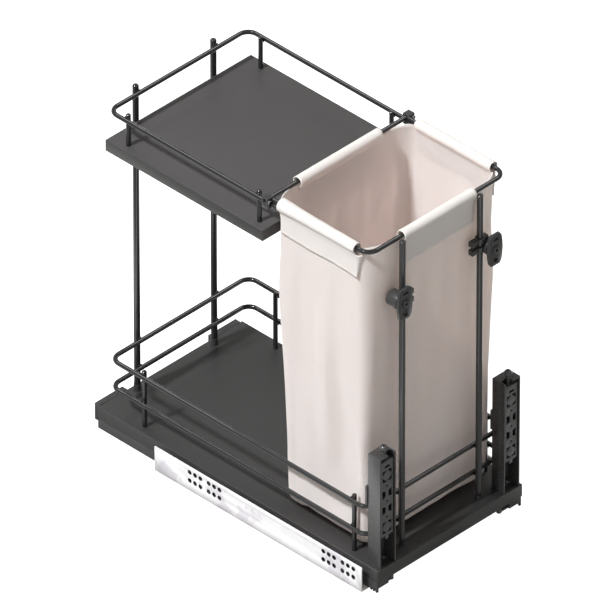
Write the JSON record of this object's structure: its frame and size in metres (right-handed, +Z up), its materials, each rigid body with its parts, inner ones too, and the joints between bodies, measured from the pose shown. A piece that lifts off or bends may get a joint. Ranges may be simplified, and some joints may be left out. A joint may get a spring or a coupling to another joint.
{
  "type": "pull-out bottle rack",
  "caption": "Pull-out storage rack for a narrow base cabinet: shelves with wire galleries and a hanging cloth bag on full-extension undermount runners.",
  "frame": {"origin": "bottom centre of the closed rack's box, on the runners' underside", "axes": "+Z up, -Y the way the rack pulls out, +X to the right seen from the front"},
  "size_m": [0.268, 0.4794, 0.4887],
  "materials": {
    "zinc": "bright galvanised sheet steel",
    "steel": "grey zinc-plated steel",
    "screw_zinc": "bright zinc-plated steel",
    "plastic": "fine-textured dark grey moulded plastic",
    "board": "anthracite coated board, matt",
    "graphite": "graphite powder coat, satin",
    "cloth": "unbleached cotton canvas"
  },
  "bodies": {
    "cabinet_rails": {"cabinet_rail_left": "zinc", "cabinet_rail_right": "zinc"},
    "rack": {"drawer_rail_left": "steel", "drawer_rail_right": "steel", "rear_bracket_left": "steel", "rear_bracket_right": "steel", "cross_clip_screws": "steel", "column_screws": "steel", "post_screws": "steel", "lock_clip_left": "plastic", "lock_clip_right": "plastic", "cross_clip_left": "plastic", "cross_clip_right": "plastic", "post_sockets": "plastic", "lower_shelf": "board", "upper_shelf": "board", "front_profile": "graphite", "lower_gallery_low_wire": "graphite", "lower_gallery_high_wire": "graphite", "lower_gallery_posts": "graphite", "gallery_tab_left": "graphite", "gallery_tab_right": "graphite", "tall_post_left": "graphite", "tall_post_right": "graphite", "upper_gallery_wire": "graphite", "upper_gallery_posts": "graphite", "front_rod_left": "graphite", "front_rod_right": "graphite", "bag_frame_wire": "graphite", "bag_crossbar": "graphite", "column_left": "graphite", "column_right": "graphite", "bag": "cloth", "bag_hems": "cloth"},
    "middle_left": {"middle_rail_left": "zinc"},
    "lower_cage_left": {"lower_cage_left": "plastic", "lower_rollers_left": "steel"},
    "upper_cage_left": {"upper_cage_left": "plastic", "upper_rollers_left": "steel"},
    "lever_left": {"lock_lever_left": "plastic"},
    "lattice_left": {"lattice_plate_left": "steel"},
    "height_screw_left": {"height_screw_left": "screw_zinc"},
    "door_clip_left": {"clip_body_left": "plastic", "clip_face_left": "steel"},
    "cam_screw_left": {"cam_screw_left": "screw_zinc"},
    "middle_right": {"middle_rail_right": "zinc"},
    "lower_cage_right": {"lower_cage_right": "plastic", "lower_rollers_right": "steel"},
    "upper_cage_right": {"upper_cage_right": "plastic", "upper_rollers_right": "steel"},
    "lever_right": {"lock_lever_right": "plastic"},
    "lattice_right": {"lattice_plate_right": "steel"},
    "height_screw_right": {"height_screw_right": "screw_zinc"},
    "door_clip_right": {"clip_body_right": "plastic", "clip_face_right": "steel"},
    "cam_screw_right": {"cam_screw_right": "screw_zinc"}
  },
  "joints": [
    {"name": "pull_out", "type": "slide", "parent": "cabinet_rails", "child": "rack", "axis": [0, -1, 0], "range_m": [0, 0.33]},
    {"name": "middle_left_slide", "type": "slide", "parent": "cabinet_rails", "child": "middle_left", "axis": [0, -1, 0], "range_m": [0, 0.165]},
    {"name": "lower_cage_left_slide", "type": "slide", "parent": "cabinet_rails", "child": "lower_cage_left", "axis": [0, -1, 0], "range_m": [0, 0.0825]},
    {"name": "upper_cage_left_slide", "type": "slide", "parent": "cabinet_rails", "child": "upper_cage_left", "axis": [0, -1, 0], "range_m": [0, 0.2475]},
    {"name": "lever_left_turn", "type": "hinge", "parent": "rack", "child": "lever_left", "pos_m": [-0.113, -0.23075, 0.004], "axis": [0, 0, -1], "range_deg": [0, 12], "stiffness_Nm_per_rad": 0.05},
    {"name": "lattice_left_lift", "type": "slide", "parent": "rack", "child": "lattice_left", "axis": [0, 0, 1], "range_m": [-0.003, 0.003]},
    {"name": "height_screw_left_turn", "type": "hinge", "parent": "rack", "child": "height_screw_left", "pos_m": [-0.1055, -0.23115, 0.195], "axis": [0, 0, 1], "range_deg": [-865, 865]},
    {"name": "door_clip_left_slide", "type": "slide", "parent": "rack", "child": "door_clip_left", "axis": [0, 0, 1], "range_m": [-0.06, 0.02]},
    {"name": "cam_screw_left_turn", "type": "hinge", "parent": "door_clip_left", "child": "cam_screw_left", "pos_m": [-0.0762, -0.23615, 0.4015], "axis": [0, -1, 0], "range_deg": [-90, 90]},
    {"name": "middle_right_slide", "type": "slide", "parent": "cabinet_rails", "child": "middle_right", "axis": [0, -1, 0], "range_m": [0, 0.165]},
    {"name": "lower_cage_right_slide", "type": "slide", "parent": "cabinet_rails", "child": "lower_cage_right", "axis": [0, -1, 0], "range_m": [0, 0.0825]},
    {"name": "upper_cage_right_slide", "type": "slide", "parent": "cabinet_rails", "child": "upper_cage_right", "axis": [0, -1, 0], "range_m": [0, 0.2475]},
    {"name": "lever_right_turn", "type": "hinge", "parent": "rack", "child": "lever_right", "pos_m": [0.113, -0.23075, 0.004], "axis": [0, 0, 1], "range_deg": [0, 12], "stiffness_Nm_per_rad": 0.05},
    {"name": "lattice_right_lift", "type": "slide", "parent": "rack", "child": "lattice_right", "axis": [0, 0, 1], "range_m": [-0.003, 0.003]},
    {"name": "height_screw_right_turn", "type": "hinge", "parent": "rack", "child": "height_screw_right", "pos_m": [0.1055, -0.23115, 0.195], "axis": [0, 0, 1], "range_deg": [-865, 865]},
    {"name": "door_clip_right_slide", "type": "slide", "parent": "rack", "child": "door_clip_right", "axis": [0, 0, 1], "range_m": [-0.06, 0.02]},
    {"name": "cam_screw_right_turn", "type": "hinge", "parent": "door_clip_right", "child": "cam_screw_right", "pos_m": [0.0762, -0.23615, 0.4015], "axis": [0, -1, 0], "range_deg": [-90, 90]}
  ],
  "couplings": [
    {"joint": "middle_left_slide", "follows": "pull_out", "ratio": 0.5},
    {"joint": "lower_cage_left_slide", "follows": "pull_out", "ratio": 0.25},
    {"joint": "upper_cage_left_slide", "follows": "pull_out", "ratio": 0.75},
    {"joint": "height_screw_left_turn", "follows": "lattice_left_lift", "rad_per_m": -5026.5},
    {"joint": "middle_right_slide", "follows": "pull_out", "ratio": 0.5},
    {"joint": "lower_cage_right_slide", "follows": "pull_out", "ratio": 0.25},
    {"joint": "upper_cage_right_slide", "follows": "pull_out", "ratio": 0.75},
    {"joint": "height_screw_right_turn", "follows": "lattice_right_lift", "rad_per_m": -5026.5}
  ]
}
